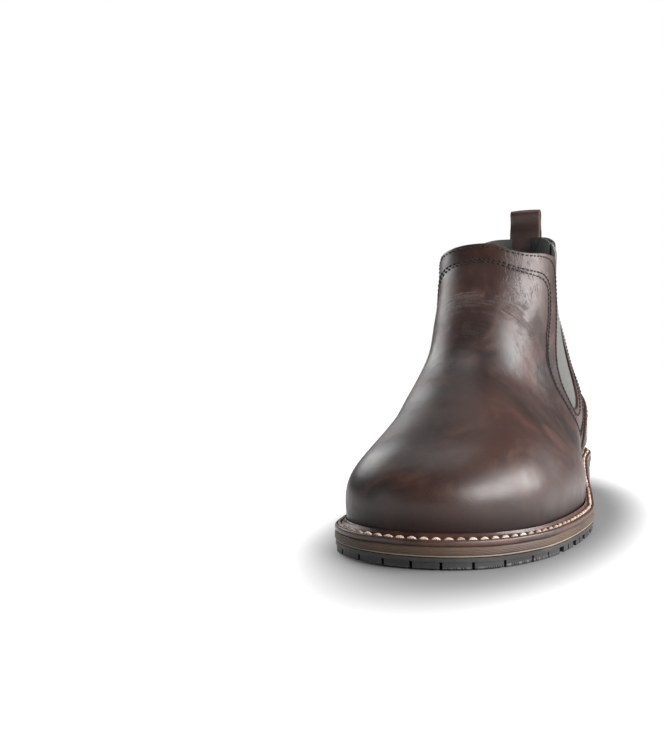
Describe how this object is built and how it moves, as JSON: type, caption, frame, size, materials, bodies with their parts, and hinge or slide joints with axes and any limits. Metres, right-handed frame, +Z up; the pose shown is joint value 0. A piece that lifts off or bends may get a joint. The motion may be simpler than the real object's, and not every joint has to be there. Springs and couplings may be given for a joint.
{
  "type": "chelsea boot",
  "caption": "Ankle-high slip-on leather boot for the left foot, with elastic side panels, a rear pull loop and a stitched welt on a thick rubber sole with cut blocks",
  "frame": {"origin": "on the ground, under the centre of the bounding box", "axes": "+Z up; +Y towards the heel, the toe points to -Y; +X towards the lateral (outer) side of this left boot"},
  "size_m": [0.1179, 0.3038, 0.209],
  "materials": {
    "brown_leather": "polished dark brown full-grain leather",
    "welt_leather": "dark brown edge-dyed welt leather",
    "tan_rubber": "dull tan crepe-like midsole rubber",
    "black_rubber": "matt black moulded rubber",
    "elastic": "ribbed grey-green elastic webbing",
    "lining": "dark textile lining",
    "board": "pressed fibre board",
    "cork": "granulated cork filler",
    "steel": "plain rolled strip",
    "cream_thread": "waxed cream thread",
    "footbed_cloth": "cloth over foam",
    "moulded_fibre": "thermoformed fibre sheet"
  },
  "bodies": {
    "lower": {"vamp": "brown_leather", "heel_quarter": "brown_leather", "heel_counter_cover": "brown_leather", "vamp_lining": "lining", "heel_lining": "lining", "toe_puff": "moulded_fibre", "heel_stiffener": "moulded_fibre", "insole_board": "board", "footbed": "footbed_cloth", "cork_filler": "cork", "heel_seat_filler": "moulded_fibre", "steel_shank": "steel", "welt": "welt_leather", "welt_thread": "cream_thread", "midsole": "tan_rubber", "outsole": "black_rubber", "gore_lateral": "elastic", "gore_medial": "elastic"},
    "rear_shaft": {"quarter_lateral": "brown_leather", "quarter_medial": "brown_leather", "quarter_lining": "lining", "back_strap": "brown_leather", "pull_tab_leg_outer": "brown_leather", "pull_tab_leg_inner": "brown_leather"},
    "pull_loop": {"pull_tab": "brown_leather"}
  },
  "joints": [
    {"name": "mouth_opening", "type": "hinge", "parent": "lower", "child": "rear_shaft", "pos_m": [-0.003, 0.1465, 0.0665], "axis": [-1, 0, 0], "range_deg": [0, 10], "stiffness_Nm_per_rad": 0.9, "deforming": ["gore_lateral", "gore_medial"]},
    {"name": "pull_loop_fold", "type": "hinge", "parent": "rear_shaft", "child": "pull_loop", "pos_m": [-0.009, 0.1411, 0.1917], "axis": [-1, 0, 0], "range_deg": [-55, 70], "stiffness_Nm_per_rad": 0.01, "deforming": ["pull_tab"]}
  ]
}
